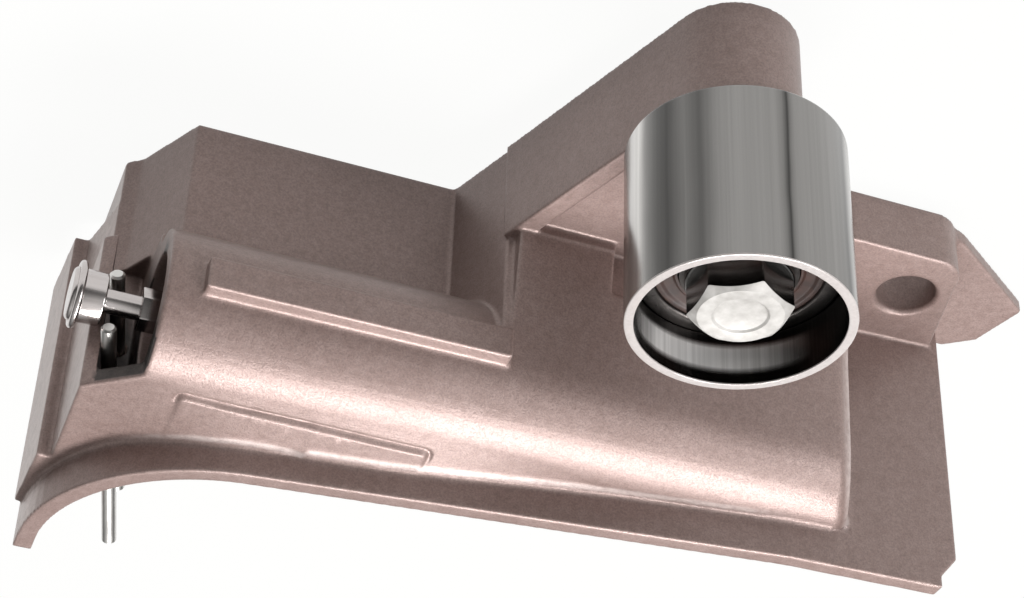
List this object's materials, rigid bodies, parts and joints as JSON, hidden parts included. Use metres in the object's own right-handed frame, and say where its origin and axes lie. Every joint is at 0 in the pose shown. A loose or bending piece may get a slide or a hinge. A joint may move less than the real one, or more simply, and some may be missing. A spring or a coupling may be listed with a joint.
{
  "type": "timing belt tensioner",
  "caption": "Cast swing arm that holds a toothed timing belt tight: a belt roller on a short arm, a pivot ear, a belt guard and an oil damper whose rod pushes on a stop.",
  "frame": {"origin": "where the roller axis meets the flat engine-side face of the casting", "axes": "+X along the damper barrel towards the pivot ear, +Y from the barrel towards the roller, +Z along the roller axis away from the engine"},
  "size_m": [0.1962, 0.1345, 0.07],
  "materials": {
    "cast_aluminium": "satin",
    "polished_steel": "polished",
    "bearing_steel": "ground",
    "spacer_steel": "satin",
    "spring_steel": "satin",
    "zinc_steel": "satin",
    "rod_chrome": "polished",
    "pin_steel": "satin",
    "seal_rubber": "matt",
    "cage_plastic": "matt"
  },
  "bodies": {
    "casting": {"housing": "cast_aluminium", "bearing_inner_ring": "bearing_steel", "roller_spacer": "spacer_steel", "bolt_washer": "zinc_steel", "roller_bolt": "zinc_steel", "damper_sleeve": "bearing_steel", "check_ball": "bearing_steel", "check_ball_cup": "spacer_steel", "check_ball_spring": "spring_steel", "pressure_spring": "spring_steel", "rod_guide": "spacer_steel", "rod_seal": "seal_rubber", "seal_backing_ring": "spacer_steel", "retaining_ring": "spring_steel"},
    "roller": {"roller_sleeve": "polished_steel", "bearing_outer_ring": "bearing_steel", "rear_bearing_seal": "seal_rubber", "front_bearing_seal": "seal_rubber"},
    "ball_cage": {"bearing_balls": "bearing_steel", "bearing_cage": "cage_plastic"},
    "plunger_and_rod": {"plunger": "bearing_steel", "push_rod": "rod_chrome", "rod_wire_ring": "rod_chrome"},
    "front_pin": {"front_transport_pin": "pin_steel"},
    "rear_pin": {"rear_transport_pin": "pin_steel"}
  },
  "joints": [
    {"name": "roller_spin", "type": "hinge", "parent": "casting", "child": "roller", "pos_m": [0, 0, 0], "axis": [0, 0, 1], "continuous": true},
    {"name": "cage_spin", "type": "hinge", "parent": "casting", "child": "ball_cage", "pos_m": [0, 0, 0], "axis": [0, 0, 1], "continuous": true},
    {"name": "plunger_slide", "type": "slide", "parent": "casting", "child": "plunger_and_rod", "axis": [-1, 0, 0], "range_m": [0, 0.01]},
    {"name": "front_pin_slide", "type": "slide", "parent": "casting", "child": "front_pin", "axis": [0.2387, -0.9364, 0.2571], "range_m": [0, 0.055]},
    {"name": "rear_pin_slide", "type": "slide", "parent": "casting", "child": "rear_pin", "axis": [0.2387, -0.9364, 0.2571], "range_m": [0, 0.055]}
  ],
  "couplings": [
    {"joint": "cage_spin", "follows": "roller_spin", "ratio": 0.6265}
  ]
}
